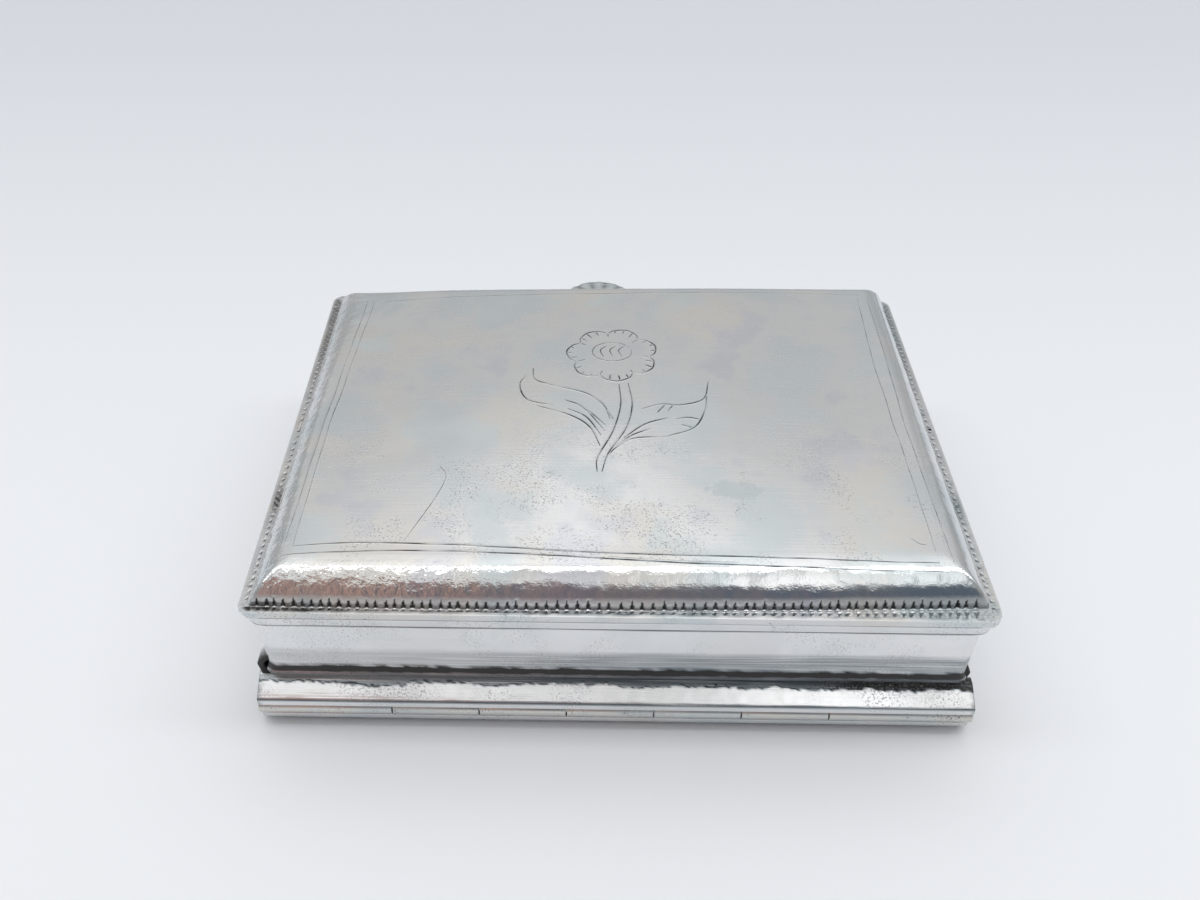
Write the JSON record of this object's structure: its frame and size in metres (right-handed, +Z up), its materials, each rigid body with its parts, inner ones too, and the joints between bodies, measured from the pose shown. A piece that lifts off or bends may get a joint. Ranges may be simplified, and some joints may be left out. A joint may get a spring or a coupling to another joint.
{
  "type": "snuff box",
  "caption": "Rectangular silver snuff box: cushioned cover engraved with a flower, punched toothed border, coved walls, knuckled hinge, shell thumbpiece and a dished base with a bezel.",
  "frame": {"origin": "on the flat underside of the base, below the middle of the top plate", "axes": "+X along the hinge to the right, +Y from the hinge towards the thumbpiece, +Z up"},
  "size_m": [0.0868, 0.0689, 0.026],
  "materials": {
    "plate_silver": "worn bright silver, engraved and punched by hand, patchy grey tarnish",
    "wall_silver": "bright worn silver with dark seams",
    "hinge_silver": "worn silver, dark at the joints",
    "cast_silver": "dark tarnished cast silver, bright on the ridges",
    "base_silver": "worn silver, rubbed and scratched underneath",
    "inner_silver": "dull plain silver inside"
  },
  "bodies": {
    "base": {"base_plate": "base_silver", "base_rim_left": "base_silver", "base_rim_far": "base_silver", "base_rim_right": "base_silver", "bezel_left": "inner_silver", "bezel_far": "inner_silver", "bezel_right": "inner_silver", "bezel_near": "inner_silver", "hinge_pin": "hinge_silver", "base_knuckle_1": "hinge_silver", "base_knuckle_2": "hinge_silver", "base_knuckle_3": "hinge_silver"},
    "cover": {"cover_plate": "plate_silver", "cover_rim": "wall_silver", "near_wall": "wall_silver", "left_wall": "wall_silver", "far_wall": "wall_silver", "right_wall": "wall_silver", "hinge_gutter": "wall_silver", "thumbpiece": "cast_silver", "cover_knuckle_1": "hinge_silver", "cover_knuckle_2": "hinge_silver", "cover_knuckle_3": "hinge_silver", "cover_knuckle_4": "hinge_silver"}
  },
  "joints": [
    {"name": "cover_hinge", "type": "hinge", "parent": "base", "child": "cover", "pos_m": [0, -0.0309, 0.0029], "axis": [1, 0, 0], "range_deg": [0, 95]}
  ]
}
